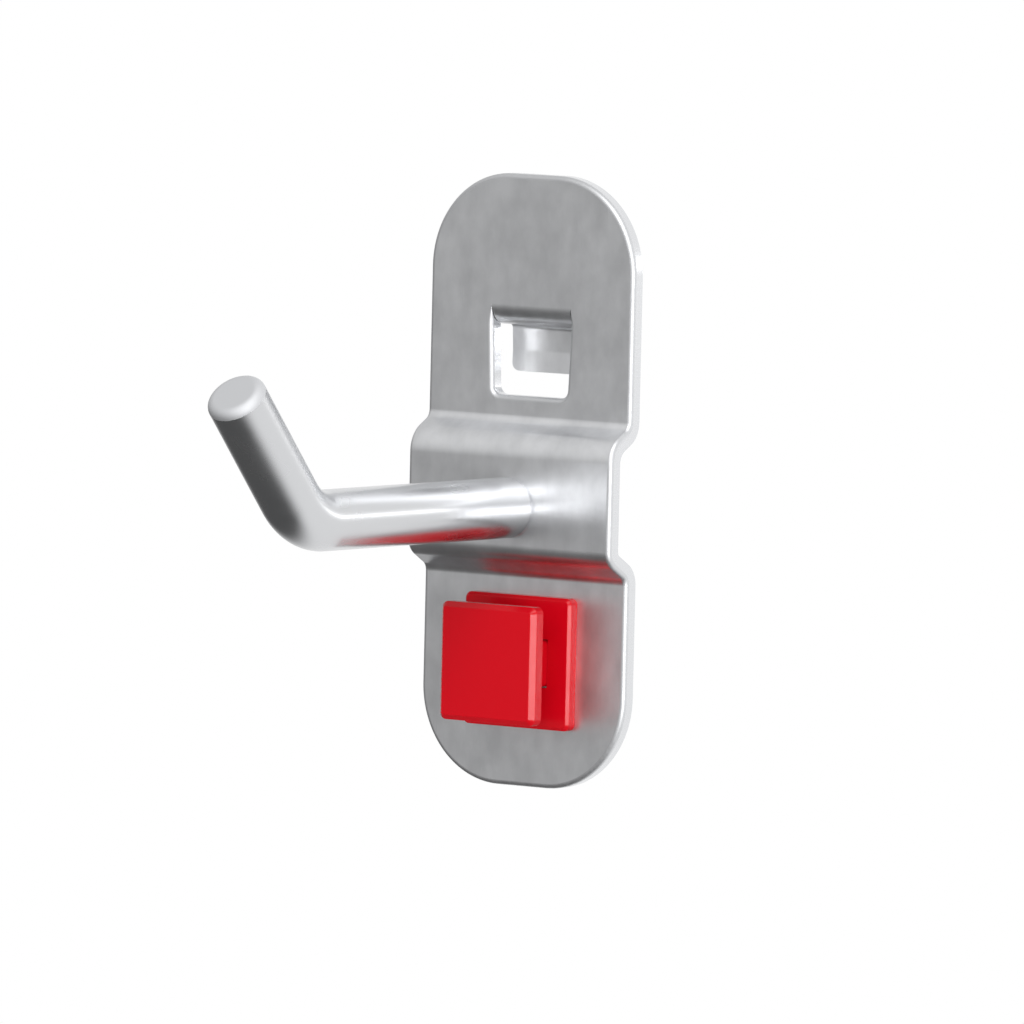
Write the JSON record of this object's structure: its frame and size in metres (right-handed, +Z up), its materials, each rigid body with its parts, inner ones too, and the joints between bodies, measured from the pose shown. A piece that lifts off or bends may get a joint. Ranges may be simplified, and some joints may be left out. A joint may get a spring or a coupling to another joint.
{
  "type": "pegboard hook",
  "caption": "Panel hook: folded steel plate with a hanging tab cut from its own window, a bent rod riveted to its raised band, and a red push lock that keeps it in the panel's holes.",
  "frame": {"origin": "middle of the lock on the plate's back face, which lies on the panel", "axes": "+X to the right seen from the front, +Y into the panel, +Z up"},
  "size_m": [0.025, 0.0546, 0.0605],
  "materials": {
    "plate_steel": "satin zinc plate",
    "rod_steel": "bright zinc plate",
    "red_plastic": "smooth moulded"
  },
  "bodies": {
    "holder": {"back_plate": "plate_steel", "hook_rod": "rod_steel", "lock_sleeve": "red_plastic"},
    "lock": {"lock_pin": "red_plastic"}
  },
  "joints": [
    {"name": "lock_push", "type": "slide", "parent": "holder", "child": "lock", "axis": [0, 1, 0], "range_m": [0, 0.0033]}
  ]
}
